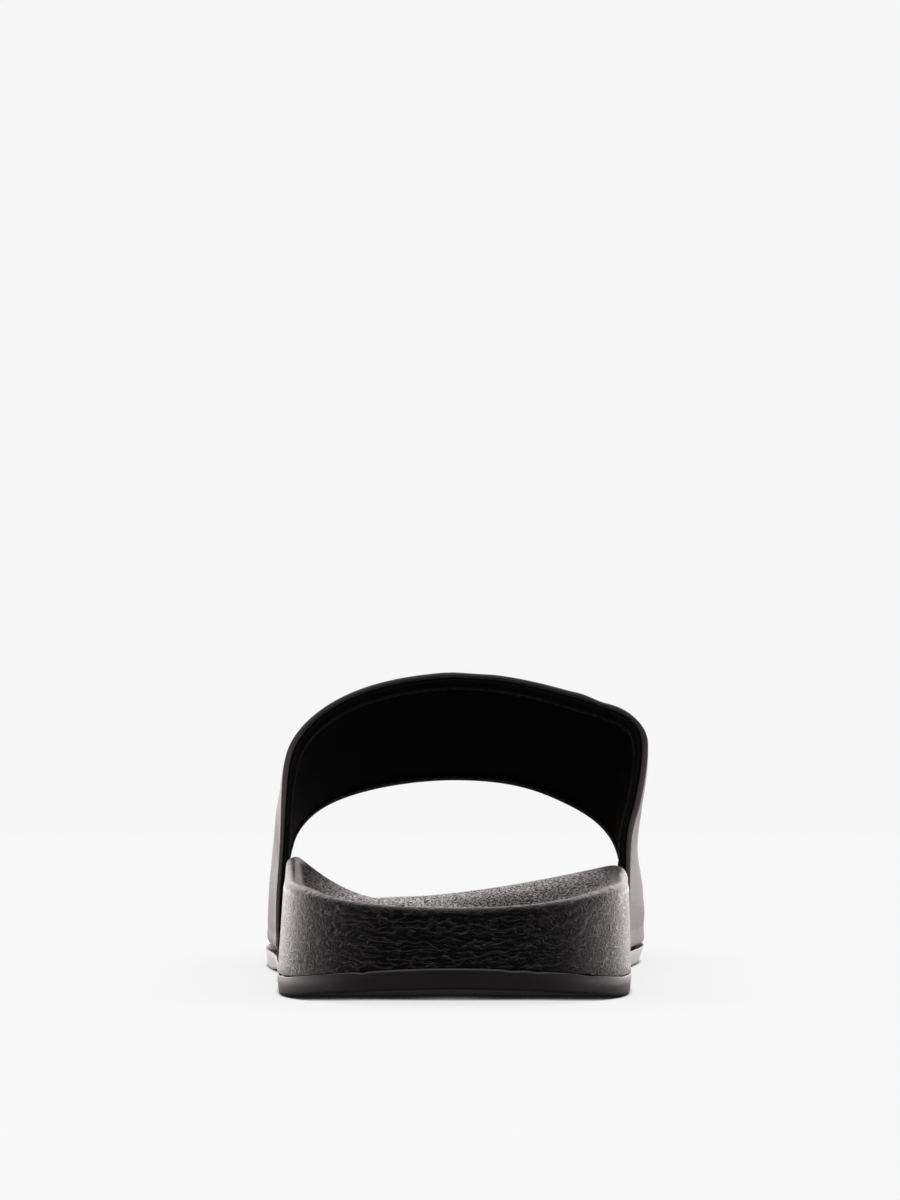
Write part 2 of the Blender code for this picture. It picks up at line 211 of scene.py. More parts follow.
def placeShift():  # from the sole's own zero to the frame's
    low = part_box("midsole")[0]
    y = np.linspace(0, sole["length"], 400)
    return np.array([low[0] - wallX(-1, y).min(), low[1], 0.0])


shift = placeShift()


# Modelling helpers. Everything is deselected first, because the frame arrives selected.
def setMode(mode):
    bpy.ops.object.mode_set(mode=mode)


def deselectAll():
    if bpy.context.object and bpy.context.object.mode != "OBJECT":
        setMode("OBJECT")
    bpy.ops.object.select_all(action="DESELECT")


def pick(piece):
    deselectAll()
    piece.select_set(True)
    bpy.context.view_layer.objects.active = piece


def editAll(piece):
    pick(piece)
    setMode("EDIT")
    bpy.ops.mesh.select_all(action="SELECT")


def newPiece(name):
    piece = bpy.context.object
    piece.name = piece.data.name = name
    return piece


def copyOf(piece):
    copy = piece.copy()
    copy.data = piece.data.copy()
    bpy.context.collection.objects.link(copy)
    return copy


def placePoints(piece, points):
    piece.data.vertices.foreach_set("co", np.asarray(points, float).reshape(-1))
    piece.data.update()


def closeUp(piece, holes=False):
    editAll(piece)
    bpy.ops.mesh.remove_doubles(threshold=1e-6)
    if holes:
        bpy.ops.mesh.select_all(action="DESELECT")
        bpy.ops.mesh.select_non_manifold()
        bpy.ops.mesh.fill_holes(sides=0)
        bpy.ops.mesh.select_all(action="SELECT")
    bpy.ops.mesh.normals_make_consistent(inside=False)
    setMode("OBJECT")


def cutWith(piece, cutter):
    cut = piece.modifiers.new("cut", "BOOLEAN")
    cut.operation, cut.solver, cut.object = "DIFFERENCE", "EXACT", cutter
    pick(piece)
    bpy.ops.object.modifier_apply(modifier=cut.name)
    bpy.data.objects.remove(cutter)


def joinAll(name, pieces):
    pick(pieces[0])
    for piece in pieces:
        piece.select_set(True)
    bpy.ops.object.join()
    return newPiece(name)


def ringPiece(name, rings):  # a circle, extruded once for each ring
    deselectAll()
    bpy.ops.mesh.primitive_circle_add(vertices=len(rings[0]), radius=sole["width"] / 2,
                                      fill_type="NOTHING")
    piece = newPiece(name)
    editAll(piece)
    for ring in rings[1:]:
        bpy.ops.mesh.extrude_region_move(TRANSFORM_OT_translate={"value": (0, 0, 0.001)})
    setMode("OBJECT")
    placePoints(piece, np.concatenate(rings) + shift)
    closeUp(piece)
    return piece


def gridPiece(name, points, lengths):  # a grid, its UV map in metres
    rows, columns = points.shape[:2]
    deselectAll()
    bpy.ops.mesh.primitive_grid_add(x_subdivisions=columns - 1, y_subdivisions=rows - 1, size=0.1)
    piece = newPiece(name)
    placePoints(piece, points + shift)
    corners = np.empty(len(piece.data.loops), np.int32)
    piece.data.loops.foreach_get("vertex_index", corners)
    piece.data.uv_layers[0].data.foreach_set("uv", lengths.reshape(-1, 2)[corners].reshape(-1))
    closeUp(piece, holes=True)
    return piece


def finished(piece, material, angle=40):
    piece.data.materials.clear()
    piece.data.materials.append(material)
    pick(piece)
    bpy.ops.object.shade_smooth_by_angle(angle=math.radians(angle))
    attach(piece, "root")
    print("made", piece.name, len(piece.data.polygons), "faces")
    return piece


# Shader maths: a value wraps a socket, and sums on values add the Math nodes.
class Value:
    def __init__(self, finish, socket):
        self.finish, self.socket = finish, socket

    def maths(self, operation, *others):
        return self.finish.node("ShaderNodeMath", {"operation": operation}, (self, *others))

    def __add__(self, other):
        return self.maths("ADD", other)

    def __sub__(self, other):
        return self.maths("SUBTRACT", other)

    def __rsub__(self, other):
        return self.finish.node("ShaderNodeMath", {"operation": "SUBTRACT"}, (other, self))

    def __mul__(self, other):
        return self.maths("MULTIPLY", other)

    __radd__, __rmul__ = __add__, __mul__

    def sine(self):
        return self.maths("SINE")

    def size(self):
        return self.maths("ABSOLUTE")

    def larger(self, other):
        return self.maths("MAXIMUM", other)

    def between(self, low, high, start=0.0, end=1.0):  # eased from start at low to end at high
        return self.finish.node("ShaderNodeMapRange", {"interpolation_type": "SMOOTHSTEP"},
                                (self, low, high, start, end))


class NodeSet:
    def __init__(self, tree):
        self.tree = tree

    def node(self, kind, settings=None, values=(), output=0):
        made = self.tree.nodes.new(kind)
        for name, setting in (settings or {}).items():
            setattr(made, name, setting)
        pairs = values.items() if isinstance(values, dict) else enumerate(values)
        for name, value in pairs:
            self.feed(made.inputs[name], value)
        return Value(self, made.outputs[output])

    def feed(self, socket, value):
        if isinstance(value, Value):
            self.tree.links.new(value.socket, socket)
        else:
            socket.default_value = value

    def axes(self, vector):
        made = self.node("ShaderNodeSeparateXYZ", {}, (vector,))
        return [Value(self, socket) for socket in made.socket.node.outputs]

    def tint(self, factor, first, second):
        first, second = ((*end, 1) if isinstance(end, tuple) else end for end in (first, second))
        return self.node("ShaderNodeMix", {"data_type": "RGBA"}, {0: factor, 6: first, 7: second}, 2)


class Finish(NodeSet):
    def __init__(self, name):
        self.material = bpy.data.materials.new(name)
        self.material.use_nodes = True
        super().__init__(self.material.node_tree)
        self.shader = self.tree.nodes["Principled BSDF"]
        self.place = self.node("ShaderNodeTexCoord", output="Object")
        self.x, self.y, self.z = self.axes(self.place)

    def scaled(self, place, scale):
        return self.node("ShaderNodeVectorMath", {"operation": "MULTIPLY"}, (place, scale))

    def moved(self, place, offset):
        return self.node("ShaderNodeVectorMath", {"operation": "ADD"}, (place, offset))

    def noise(self, scale, detail=3.0, roughness=0.5, place=None, output=0):
        values = {"Vector": place or self.place, "Scale": scale, "Detail": detail, "Roughness": roughness}
        return self.node("ShaderNodeTexNoise", {}, values, output)

    def warped(self, scale, amount):  # the place pushed about by a soft noise
        centred = self.moved(self.noise(scale, 2, output="Color"), (-0.5, -0.5, -0.5))
        return self.moved(self.place, self.scaled(centred, (amount, amount, amount)))

    def cells(self, scale, place, feature="DISTANCE_TO_EDGE"):
        return self.node("ShaderNodeTexVoronoi", {"feature": feature}, {"Vector": place, "Scale": scale})

    def facing(self):  # which way the surface faces
        return self.axes(self.node("ShaderNodeNewGeometry", output="Normal"))

    def bump(self, height, distance=1.0):
        return self.node("ShaderNodeBump", {}, {"Height": height, "Distance": distance, "Strength": 1.0})

    def set(self, **values):
        names = {"colour": "Base Color", "roughness": "Roughness", "normal": "Normal",
                 "coat": "Coat Weight", "coatRoughness": "Coat Roughness", "gloss": "Specular IOR Level"}
        for name, value in values.items():
            self.feed(self.shader.inputs[names[name]], value)
        return self.material

    def dulled(self, share, colour, normal):  # mixes in a surface that has no gloss at all
        dull = self.node("ShaderNodeBsdfDiffuse", {}, {"Color": (*colour, 1), "Normal": normal})
        glossy = Value(self, self.shader.outputs[0])
        mixed = self.node("ShaderNodeMixShader", {}, (share, glossy, dull))
        self.feed(self.tree.nodes["Material Output"].inputs["Surface"], mixed)


# The camera and the light: a white sweep behind the shoe, a dark room behind the camera.
view = {
    "place": (-0.000834, -0.7396, 0.04038),
    "tilt": 4.4465,
    "turn": 0.0984,
    "lens": 83.564,
    "background": 0.93,
    "sweep": 1.42,
    "sweepRamp": (0.28, 0.93),  # ramps of the light's direction, start and end
    "sweepCentre": 2.05,
    "centreRamp": (0.66, 0.97),
    "room": 0.016,
    "overhead": 0.80,
    "overheadRamp": (0.40, 0.95),
    "sideLight": 0.17,
    "sideRamp": (0.55, 0.95),
    "sideBackRamp": (-0.75, -0.1),
    "tint": (1.0, 0.925, 0.925),
    "contact": 0.0015,
    "contactRamp": (0.12, 0.80),
    "contactDims": 0.85,  # how much the shadows dim the floor's own light
    "softShadow": 0.035,
    "softDepth": 0.16,
    "softDims": 0.45,
    "darkest": 0.009,
    "grain": 0.004,
    "floorNear": 0.06,
    "floorBehind": 1.35,
    "behindRamp": (-0.12, 0.04),  # ramps over the floor, in metres
    "floorBeside": 0.6,
    "besideRamp": (0.044, 0.062),
    "besideBackRamp": (-0.16, -0.10),
}


def makeCamera():
    scene = bpy.context.scene
    camera = bpy.data.objects.new("camera", bpy.data.cameras.new("camera"))
    scene.collection.objects.link(camera)
    camera.location = view["place"]
    camera.rotation_euler = (math.radians(90 + view["tilt"]), 0, math.radians(view["turn"]))
    camera.data.lens, camera.data.sensor_width = view["lens"], 36
    camera.data.clip_start, camera.data.clip_end = 0.01, 100
    scene.camera = camera
    scene.view_settings.view_transform = "Standard"


def makeWorld():
    world = bpy.data.worlds.new("studio")
    bpy.context.scene.world = world
    world.use_nodes = True
    sky = NodeSet(world.node_tree)
    direction = sky.node("ShaderNodeTexCoord", output="Generated")
    x, y, z = sky.axes(direction)
    behind = y.between(*view["sweepRamp"])
    beside = x.size().between(*view["sideRamp"]) * y.between(*view["sideBackRamp"])
    above = z.between(*view["overheadRamp"])
    level = behind * view["sweep"] + y.between(*view["centreRamp"]) * view["sweepCentre"]
    level = level + beside * view["sideLight"] + above * view["overhead"] + view["room"]
    seen = sky.node("ShaderNodeLightPath", output="Is Camera Ray")
    strength = seen * view["background"] + (1 - seen) * level
    plain = sky.tint(seen, view["tint"], (1.0, 1.0, 1.0))
    background = world.node_tree.nodes["Background"]
    sky.feed(background.inputs["Color"], plain)
    sky.feed(background.inputs["Strength"], strength)


def makeFloor():
    deselectAll()
    bpy.ops.mesh.primitive_plane_add(size=12)
    floor = newPiece("floor")
    paint = Finish("paleFloor")
    # painted shadow: ambient occlusion darkens the floor's glow into soft contact shadows under and beside
    # the shoe
    tight, wide = (paint.node("ShaderNodeAmbientOcclusion", {"samples": 12}, {"Distance": reach}, "AO")
                   for reach in (view["contact"], view["softShadow"]))
    shade = tight.between(*view["contactRamp"]) * (1 - (1 - wide) * view["softDepth"])
    seen = paint.node("ShaderNodeLightPath", output="Is Camera Ray")
    grain = (paint.noise(40) - 0.5) * view["grain"]
    shown = shade * (view["background"] + grain) + view["darkest"]
    beside = paint.x.size().between(*view["besideRamp"]) * paint.y.between(*view["besideBackRamp"])
    beside = beside * view["floorBeside"]
    behind = paint.y.between(*view["behindRamp"])
    given = view["floorNear"] + behind.larger(beside) * view["floorBehind"]
    for near, dims in ((tight, view["contactDims"]), (wide, view["softDims"])):
        given = given * (near * dims + (1 - dims))
    plain = paint.tint(seen, view["tint"], (1.0, 1.0, 1.0))
    strength = seen * shown + (1 - seen) * given
    glow = paint.node("ShaderNodeEmission", {}, {"Color": plain, "Strength": strength})
    paint.feed(paint.tree.nodes["Material Output"].inputs["Surface"], glow)
    floor.data.materials.append(paint.material)


makeCamera()
makeWorld()
makeFloor()
print("camera, light and floor are set")


# Midsole and footbed, moulded in one, with a grain of fine wandering ridges.
midsole = {
    "halfSteps": 150,
    "lean": {-1: 0.082, 1: 0.016},
    "rimSoft": 0.014,
    "rimSquash": 0.85,  # the rim's height as a share of its roll
    "rimPeak": 0.0020,
    "rimBack": 0.0015,
    "rimWide": 0.0030,  # the rim rolls wider round the heel's corners
    "rimWideFrom": 0.004,
    "rimWideRamp": 0.024,
    "rimWideEnd": 0.100,
    "rimNarrowRamp": 0.048,
    "grainStart": 0.0006,  # how far past the rim the footbed's grain starts
    "grainRamp": 0.0016,
    "pocketSteps": 24,
    "pocketEnds": 0.0020,  # room round the band's turned-in foot
    "pocketSides": 0.0008,
    "pocketOut": 0.0066,
    "colour": (0.0044, 0.0042, 0.0046),
    # painted highlight on the wall's ridges and the footbed's pebble tops, over some random paler tone
    "ridgeAndPebbleHighlight": (0.035, 0.033, 0.034),
    "valleyShadeColour": (0.010, 0.009, 0.009),  # the hollows between the footbed's pebbles, dull with no gloss as painted shade
    "valleyShadeShare": 0.80,
    "rimHighlightColour": (0.080, 0.074, 0.072),  # painted highlight on the rim's top, where it faces up
    "roughness": 0.29,
    "coat": 0.22,
    "ridgeCoat": 0.52,
    "ridgeRise": 0.020,  # how far the ridges climb towards the sides
    "ridgeHeight": 0.00050,
    "fine": 1000,  # sizes of the patterns, in repeats a metre
    "grit": 1500,
    "cloud": 30,
    "pebble": 950,
    "pebbleHeight": 0.00075,
}

# folds of the moulded wall: spacing, slow bend and crinkle in spacings, strength
ridgeLayers = [(0.0021, 1.3, 2.1, 1.0), (0.0033, 2.0, 2.7, 0.8), (0.0012, 1.5, 2.2, 0.42)]


def soleRing(half, edgeX, widen=0.0):
    along = (1 - np.cos(math.pi * np.linspace(0, 1, half + 1))) / 2
    along = np.concatenate([along, along[-2:0:-1]])
    side = np.where(np.arange(len(along)) <= half, -1, 1)
    y = along * sole["length"]
    spineY = sole["length"] * (sole["spineStart"] + (sole["spineEnd"] - sole["spineStart"]) * along)
    ring = {
        "side": side, "y": y,
        "edge": np.column_stack([bySide(side, edgeX(-1, y), edgeX(1, y)), y]),
        "spine": np.column_stack([footbedValue(4, spineY) * sole["width"], spineY]),
    }
    ring["edge"] = toSpine(ring, -widen)
    return ring


def toSpine(ring, distance):  # the edge moved in by a distance
    way = ring["spine"] - ring["edge"]
    way = way / np.linalg.norm(way, axis=1)[:, None]
    return ring["edge"] + way * np.reshape(distance, (-1, 1))


def partWay(ring, share, start=None):
    start = ring["edge"] if start is None else start
    return start + (ring["spine"] - start) * share


def inwardPlans(ring):  # the flat part, from near the edge to the middle
    return [partWay(ring, 0.15), partWay(ring, 0.45), ring["spine"]]


def rimRoll(y):
    wide = ease((y - midsole["rimWideFrom"]) / midsole["rimWideRamp"])
    narrow = ease((y - midsole["rimWideEnd"]) / midsole["rimNarrowRamp"] + 1)
    wide = midsole["rimBack"] + (midsole["rimWide"] - midsole["rimBack"]) * wide
    return wide + (midsole["rimPeak"] - wide) * narrow


def wallLean(side):
    return forSide(side, midsole["lean"])


def midsoleRings():
    ring = soleRing(midsole["halfSteps"], wallX)
    y, side = ring["y"], ring["side"]
    seam, rim = seamHeight(y), bySide(side, rimHeight(-1, y), rimHeight(1, y))
    rings = [np.column_stack([plan, seamHeight(plan[:, 1])]) for plan in inwardPlans(ring)[::-1]]
    for angle in np.radians([0, 30, 60, 90]):
        plan = toSpine(ring, sole["lowerRadius"] * (1 - math.sin(angle)))
        rings.append(np.column_stack([plan, seam + sole["lowerRadius"] * (1 - math.cos(angle))]))
    roll = rimRoll(y)
    shoulder = rim - roll * midsole["rimSquash"]
    low = seam + sole["lowerRadius"]
    for share in np.linspace(0.1, 1, 10):
        height = low + (shoulder - low) * share
        rings.append(np.column_stack([toSpine(ring, wallLean(side) * (height - seam)), height]))
    lean = wallLean(side) * (shoulder - seam)
    for angle in np.radians([12, 24, 36, 48, 60, 72, 82]):
        plan = toSpine(ring, lean + roll * (1 - math.cos(angle)))
        rings.append(np.column_stack([plan, shoulder + roll * midsole["rimSquash"] * math.sin(angle)]))
    start = toSpine(ring, lean + roll)
    wall = bySide(side, footbedValue(5, y), footbedValue(6, y))
    soft = midsole["rimSoft"]
    for way in np.linspace(0, 1, 34) ** 1.5:
        plan = partWay(ring, way, start)
        bed = sole["rimHeight"] * footbedValue(3, plan[:, 1])
        eased = math.sqrt(way ** 2 + soft ** 2) - soft  # rolls over the rim without an edge
        rise = np.clip(1 - eased / wall, 0, 1) ** wallCurve
        rings.append(np.column_stack([plan, bed + (rim - bed) * rise]))
    return rings


def pocketCutter(side):  # clears the band's turned-in foot
    start, end = footEnds(side)
    start, end = start - midsole["pocketEnds"], end + midsole["pocketEnds"]
    top = sole["outsole"] + 2 * sole["flatGap"] + band["wall"] + soleLift(end)
    deep = band["turnRadius"] + band["lap"] - band["wall"] + midsole["pocketSides"]
    steps = midsole["pocketSteps"]
    deselectAll()
    bpy.ops.mesh.primitive_grid_add(x_subdivisions=1, y_subdivisions=steps, size=0.1)
    cutter = newPiece("pocket")
    y = np.repeat(np.linspace(start, end, steps + 1), 2)
    x = wallX(side, y) + side * np.tile([-deep, midsole["pocketOut"]], steps + 1)
    placePoints(cutter, np.column_stack([x, y, np.zeros(len(y))]) + shift)
    editAll(cutter)
    bpy.ops.mesh.extrude_region_move(TRANSFORM_OT_translate={"value": (0, 0, top)})
    setMode("OBJECT")
    closeUp(cutter)
    return cutter


def markGrain(piece):  # 0 on the outer wall and rim, 1 on the footbed
    turn = np.linspace(0, math.pi, 600)
    y = sole["length"] * (1 - np.cos(turn)) / 2
    edge = np.concatenate([np.column_stack([wallX(side, y), y]) for side in (-1, 1)])
    points = np.array([vertex.co[:] for vertex in piece.data.vertices]) - shift
    inside = np.array([np.hypot(*(edge - point).T).min() for point in points[:, :2]])
    lean = wallLean(np.sign(points[:, 0])) * (points[:, 2] - seamHeight(points[:, 1]))
    share = ease((inside - lean - rimRoll(points[:, 1]) - midsole["grainStart"]) / midsole["grainRamp"])
    piece.data.attributes.new("footbedGrain", "FLOAT", "POINT").data.foreach_set("value", share)


def foamRidges(foam):  # fine folds that wander across the moulded wall
    height = foam.z - foam.y.between(-0.139, -0.092) * midsole["ridgeRise"]
    total = None
    for index, (spacing, bend, crinkle, strength) in enumerate(ridgeLayers):
        place = foam.moved(foam.place, (0.31 * index, 0.17 * index, 0))
        slow = foam.noise(85, 1, place=place)
        quick = foam.noise(0.62 / spacing, 2, 0.45, foam.scaled(place, (1, 1, 1.5)))
        phase = height * (2 * math.pi / spacing) + (slow * bend + quick * crinkle) * (2 * math.pi)
        broken = foam.noise(0.55 / spacing, 1, place=place).between(0.36, 0.52)
        layer = phase.sine().between(0.66, 0.96) * broken * strength
        total = layer if total is None else total.larger(layer)
    return total


def midsoleFinish():
    foam = Finish("mouldedFoam")
    top = foam.node("ShaderNodeAttribute", {"attribute_name": "footbedGrain"}, output="Fac")
    side = 1 - top
    upward = foam.facing()[2]
    level, rim = upward.between(0.72, 0.97), upward.between(0.10, 0.60)
    ridges = foamRidges(foam)
    fine = foam.noise(midsole["fine"], 3, 0.6)
    grit = foam.cells(midsole["grit"], foam.warped(900, 0.0006), "F1")
    pebble = foam.cells(midsole["pebble"], foam.warped(800, 0.0008))
    worms = pebble.between(0.03, 0.20)
    height = side * (ridges + fine * 0.17 + (1 - grit) * 0.17) * midsole["ridgeHeight"]
    height = height + top * (worms * 0.9 + fine * 0.4) * midsole["pebbleHeight"]
    cloudy = foam.noise(midsole["cloud"], 2).between(0.35, 0.75)
    # painted highlights: the wall's ridges and the footbed's pebble tops are painted lighter, over a random
    # paler tone
    light = side * (ridges * 1.2 + fine.between(0.5, 0.8) * 0.10 + cloudy * 0.05) + top * worms * 0.7
    rough = midsole["roughness"] + fine * 0.10 + rim * 0.07
    rough = rough + top * ((1 - worms) * 0.50 + (1 - level) * 0.28 - 0.06)
    shine = side * (1 - rim * 0.85) * (midsole["coat"] + ridges * midsole["ridgeCoat"])
    shine = shine + top * worms * (level * 0.40)
    normal = foam.bump(height)
    # painted shade: the pebbles' hollows are mixed with a surface that has no gloss, so they show dark
    foam.dulled(top * (1 - worms) * midsole["valleyShadeShare"], midsole["valleyShadeColour"], normal)
    colour = foam.tint(light, midsole["colour"], midsole["ridgeAndPebbleHighlight"])
    # painted highlight: the rim's top, where it faces up, is painted lighter
    paintedLight = side * upward.between(0.35, 0.85) * (0.55 + fine * 0.45)
    return foam.set(colour=foam.tint(paintedLight, colour, midsole["rimHighlightColour"]), roughness=rough,
                    coat=shine, coatRoughness=0.24, normal=normal)


def makeMidsole():
    piece = ringPiece("midsoleBody", midsoleRings())
    for side in (-1, 1):
        cutWith(piece, pocketCutter(side))
    markGrain(piece)
    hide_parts("midsole")
    return finished(piece, midsoleFinish())


makeMidsole()


# Rubber outsole: a thin proud lip at the seam, a rounded lower edge, cross lugs with fine sipes.
outsole = {
    "halfSteps": 150,
    "edgeRadius": 0.0007,
    "edgePower": 2.4,  # 2 is a round lower edge, more is squarer
    "sideSlant": 0.0005,  # how far the sides draw in below
    "slantRamp": 0.022,
    "flareSlant": {-1: 0.0, 1: 0.0012},  # added to it beside the band
    "flareSlantStart": 0.080,
    "flareSlantRamp": 0.05,
    "lip": 0.00016,
    "lipBack": 0.00044,  # added to the lip's width round the back
    "lipBackEnd": 0.003,
    "lipBackRamp": 0.008,
    "lipRise": 0.00034,
    # the lip's section: shares of its width inwards and down
    "lipSection": [(0, 1.15), (0.04, 1.0), (0.42, 0.50), (0.85, 0.06), (1.0, 0)],
    "grooveWidth": 0.0022,
    "grooveDepth": 0.0012,
    "grooveMargin": 0.0095,
    "heelGrooves": (0.215, 0.315, 4),
    "forefootGrooves": (0.550, 0.745, 7),
    "sipeWidth": 0.0007,
    "sipeDepth": 0.0005,
    "sipeMargin": 0.004,
    "sipePlaces": (0.36, 0.64),  # between two lugs
    "colour": (0.052, 0.049, 0.054),
    # painted shade in the gap at the seam
    "dustColour": (0.076, 0.071, 0.073),
    "seamShadeColour": (0.004, 0.004, 0.004),
    "roughness": 0.34,
    "coat": 0.80,
    "fine": 1300,
    "cloud": 45,
    "flow": (60, 60, 900),
}

# openings of the seam, where the lip drops: side, place, half length and drop in mm
lipMarks = [
    (-1, 5.2, 0.9, 0.45), (-1, 27, 6, 0.24), (-1, 36, 5, 0.36), (-1, 52, 14, 0.22), (-1, 80, 12, 0.16),
    (-1, 101, 4, 0.14), (1, 2.2, 0.6, 0.40), (1, 4.6, 0.8, 0.30), (1, 13.5, 3.0, 0.30), (1, 30, 8, 0.12),
    (1, 98, 9, 0.22),
]


def lipDrop(side, y):
    total = np.zeros(len(y))
    for markSide, place, half, drop in lipMarks:
        total += np.where(side == markSide, hump(y, place / 1000, half / 1000), 0) * drop / 1000
    ragged = 0.5 + 0.5 * np.sin(y * 1900 + side) * np.sin(y * 730 + 2)
    return total * (0.65 + 0.35 * ragged)


def outsoleRings():
    ring = soleRing(outsole["halfSteps"], outsoleX, sole["outsoleStep"])
    y = ring["edge"][:, 1]
    radius = outsole["edgeRadius"]
    back = 1 - ease((ring["y"] - outsole["lipBackEnd"]) / outsole["lipBackRamp"])
    lip = outsole["lip"] + outsole["lipBack"] * back
    slant = outsole["sideSlant"] * ease(ring["y"] / outsole["slantRamp"])
    flare = ease((ring["y"] - outsole["flareSlantStart"]) / outsole["flareSlantRamp"])
    slant = slant + forSide(ring["side"], outsole["flareSlant"]) * flare
    rings = []
    for plan in inwardPlans(ring)[::-1]:
        rings.append(np.column_stack([plan, soleLift(plan[:, 1]) + waistRise(plan[:, 1])]))
    power = 2 / outsole["edgePower"]
    for angle in np.linspace(0, math.pi / 2, 9):
        up = radius * (1 - max(math.cos(angle), 0) ** power)
        plan = toSpine(ring, radius * (1 - math.sin(angle) ** power) + slant * (1 - up / sole["outsole"]))
        rings.append(np.column_stack([plan, soleLift(plan[:, 1]) + waistRise(plan[:, 1]) + up]))
    top = outsoleTop(y)
    lipTop = top + outsole["lipRise"] * (0.84 + 0.16 * back) - lipDrop(ring["side"], ring["y"])
    rings.append(np.column_stack([toSpine(ring, slant * 0.4), top - 0.0018]))
    for inward, down in outsole["lipSection"]:
        rings.append(np.column_stack([toSpine(ring, lip * inward), lipTop - lip * down]))
    rings.append(np.column_stack([toSpine(ring, 0.0008), lipTop - 0.00002]))
    rings.append(np.column_stack([toSpine(ring, 0.0014), np.minimum(lipTop, top)]))
    for plan in inwardPlans(ring):
        rings.append(np.column_stack([plan, outsoleTop(plan[:, 1])]))
    return rings


def grooveBlock():  # one tapered bar, copied for each groove
    deselectAll()
    bpy.ops.mesh.primitive_cube_add(size=1)
    block = newPiece("grooveBlock")
    setMode("EDIT")
    bpy.ops.mesh.select_all(action="DESELECT")
    setMode("OBJECT")
    for face in block.data.polygons:
        face.select = face.normal.z > 0.9
    setMode("EDIT")
    bpy.ops.transform.resize(value=(1, 0.5, 1))
    setMode("OBJECT")
    return block


def groovePlaces():
    main, fine = [], []
    for start, end, count in (outsole["heelGrooves"], outsole["forefootGrooves"]):
        places = np.linspace(start, end, count) * sole["length"]
        main += list(places)
        for low, high in zip(places, places[1:]):
            fine += [low + (high - low) * share for share in outsole["sipePlaces"]]
    return main, fine


def cutGrooves(piece):
    block = grooveBlock()
    copies = []
    main, fine = groovePlaces()
    for places, kind, margin in ((main, "groove", 0), (fine, "sipe", outsole["sipeMargin"])):
        width, depth = outsole[kind + "Width"] * 1.4, outsole[kind + "Depth"]  # the bar tapers inwards
        for y in places:
            left = float(outlineX(-1, np.array([y]))[0]) + outsole["grooveMargin"] + margin
            right = float(outlineX(1, np.array([y]))[0]) - outsole["grooveMargin"] - margin
            copy = copyOf(block)
            size = Matrix.Diagonal((right - left, width, 2 * depth, 1))
            centre = Matrix.Translation(((left + right) / 2 + shift[0], y + shift[1], 0))
            copy.data.transform(centre @ size)
            copies.append(copy)
    bpy.data.objects.remove(block)
    cutWith(piece, joinAll("grooves", copies))


def outsoleFinish():
    rubber = Finish("satinRubber")
    fine = rubber.noise(outsole["fine"], 3, 0.6)
    cloudy = rubber.noise(outsole["cloud"], 3)
    flow = rubber.noise(1.0, 2, place=rubber.scaled(rubber.place, outsole["flow"]))
    low = 1 - rubber.z.between(0.0002, 0.0030)
    # painted shade: where the outsole's top faces up at the seam, behind the heel and in patches beside the
    # band, it is painted dark, dull and rough as the gap's shade
    seam = rubber.facing()[2].between(0.35, 0.80)
    patchy = rubber.noise(650, 1).between(0.42, 0.58)
    gapShade = rubber.y.between(-0.124, -0.100) * patchy  # dull and dark in places beside the band
    seam = seam * (rubber.y.between(-0.137, -0.128) * 0.45 + gapShade * 0.55)
    dust = (cloudy.between(0.45, 0.75) * 0.35 + fine.between(0.55, 0.8) * 0.25) * (0.35 + low * 0.65)
    height = fine * 0.00002 + flow * 0.00004 + cloudy * 0.0001
    colour = rubber.tint(dust, outsole["colour"], outsole["dustColour"])
    return rubber.set(colour=rubber.tint(seam, colour, outsole["seamShadeColour"]),
                      roughness=outsole["roughness"] + cloudy * 0.12 + fine * 0.06 + seam * 0.6,
                      coat=(1 - seam) * outsole["coat"], coatRoughness=0.28,
                      normal=rubber.bump(height))


def makeOutsole():
    piece = ringPiece("outsoleBody", outsoleRings())
    cutGrooves(piece)
    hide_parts("outsole")
    return finished(piece, outsoleFinish())


makeOutsole()


# The band: its outer face as a grid of points, read by the skin, the lining, the tape and the threads.
def bandFace(across, along):
    foot = sole["outsole"] + sole["flatGap"] + band["turnRadius"]
    rise = np.diff(bandRows[:, 1]) * (band["height"] - foot)
    chord = np.hypot(np.diff(bandRows[:, 0]) * band["width"], rise)
    knots = np.concatenate([[0], np.cumsum(chord)]) / chord.sum()
    edges = []
    for first, crown in ((0, band["height"]), (3, band["frontHeight"])):
        x = curveThrough(knots, bandRows[:, first], across) * band["width"]
        z = foot + curveThrough(knots, bandRows[:, first + 1], across) * (crown - foot)
        y = curveThrough(knots, bandRows[:, first + 2], across) * sole["length"]
        edges.append(np.column_stack([x, y, z]))
    rear, front = edges
    way = np.gradient(((rear + front) / 2)[:, [0, 2]], axis=0)
    way /= np.linalg.norm(way, axis=1)[:, None]
    swell = 4 * along * (1 - along)
    point = rear + (front - rear) * along
    point[:, 0] -= swell * band["sideSwell"] * way[:, 1]
    point[:, 2] += swell * band["crownSwell"] * way[:, 0]
    for side in (-1, 1):
        here = point[:, 0] * side > 0
        y, z = point[here, 1], point[here, 2]
        wall = wallX(side, y) - side * sole["sideLean"][side] * (z - seamHeight(y))
        wall += side * (band["sideGap"] + band["wall"])
        free = z - rimHeight(side, y) - sole["rimRadius"] / 2
        hold = 1 - ease(free / (band["height"] * band["holdRamp"]))
        point[here, 0] += (wall - point[here, 0]) * hold
    return point


def turnAngles():
    return np.radians(np.linspace(80, 10, band["turnSteps"]))


